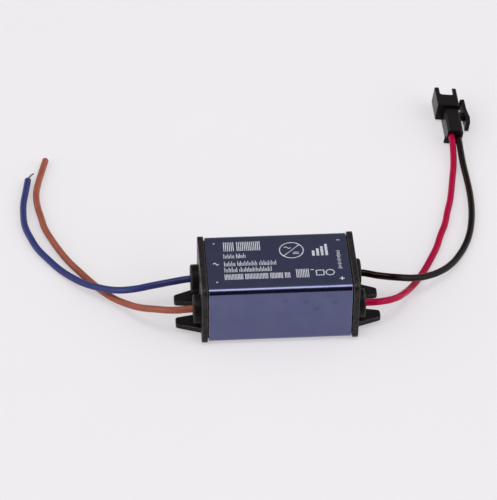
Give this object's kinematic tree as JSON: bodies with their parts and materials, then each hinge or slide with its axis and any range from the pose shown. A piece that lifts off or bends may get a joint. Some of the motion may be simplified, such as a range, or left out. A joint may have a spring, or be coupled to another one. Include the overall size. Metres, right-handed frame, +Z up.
{
  "type": "led driver",
  "caption": "Compact LED driver: anodised aluminium tube closed by moulded end caps with fixing ears, bushed mains and output leads, and a latching output connector.",
  "frame": {"origin": "centre of the footprint of the case, on the surface that the end caps stand on", "axes": "+X along the tube from the mains end to the output end, +Z up out of the label face, +Y towards the side that the leads bend to"},
  "size_m": [0.1382, 0.1085, 0.0198],
  "materials": {
    "housing": "satin dark blue anodised",
    "cap_plastic": "fine moulded black",
    "bushing_rubber": "dull black",
    "board_laminate": "green lacquered laminate",
    "resistor_lacquer": "matt lacquered",
    "package_epoxy": "moulded black",
    "choke_sleeve": "shrink sleeve",
    "capacitor_sleeve": "glossy sleeve",
    "core_ferrite": "dull ferrite",
    "bobbin_plastic": "moulded",
    "winding_tape": "yellow tape over copper",
    "disc_lacquer": "lacquered",
    "live_insulation": "brown PVC",
    "neutral_insulation": "blue PVC",
    "positive_insulation": "red PVC",
    "negative_insulation": "black PVC",
    "tinned_strand": "tinned copper",
    "connector_nylon": "moulded nylon",
    "contact_metal": "tinned brass"
  },
  "bodies": {
    "root": {"housing_tube": "housing", "input_end_cap": "cap_plastic", "output_end_cap": "cap_plastic", "live_bushing": "bushing_rubber", "neutral_bushing": "bushing_rubber", "positive_bushing": "bushing_rubber", "negative_bushing": "bushing_rubber", "circuit_board": "board_laminate", "fusible_resistor": "resistor_lacquer", "bridge_rectifier": "package_epoxy", "input_choke": "choke_sleeve", "input_capacitor": "capacitor_sleeve", "driver_chip": "package_epoxy", "lower_core": "core_ferrite", "upper_core": "core_ferrite", "transformer_bobbin": "bobbin_plastic", "transformer_winding": "winding_tape", "safety_capacitor": "disc_lacquer", "output_diode": "package_epoxy", "output_capacitor": "capacitor_sleeve", "sense_resistor": "package_epoxy", "live_lead": "live_insulation", "neutral_lead": "neutral_insulation", "positive_lead": "positive_insulation", "negative_lead": "negative_insulation", "live_strand": "tinned_strand", "neutral_strand": "tinned_strand", "connector_housing": "connector_nylon", "positive_contact": "contact_metal", "negative_contact": "contact_metal"}
  },
  "joints": []
}
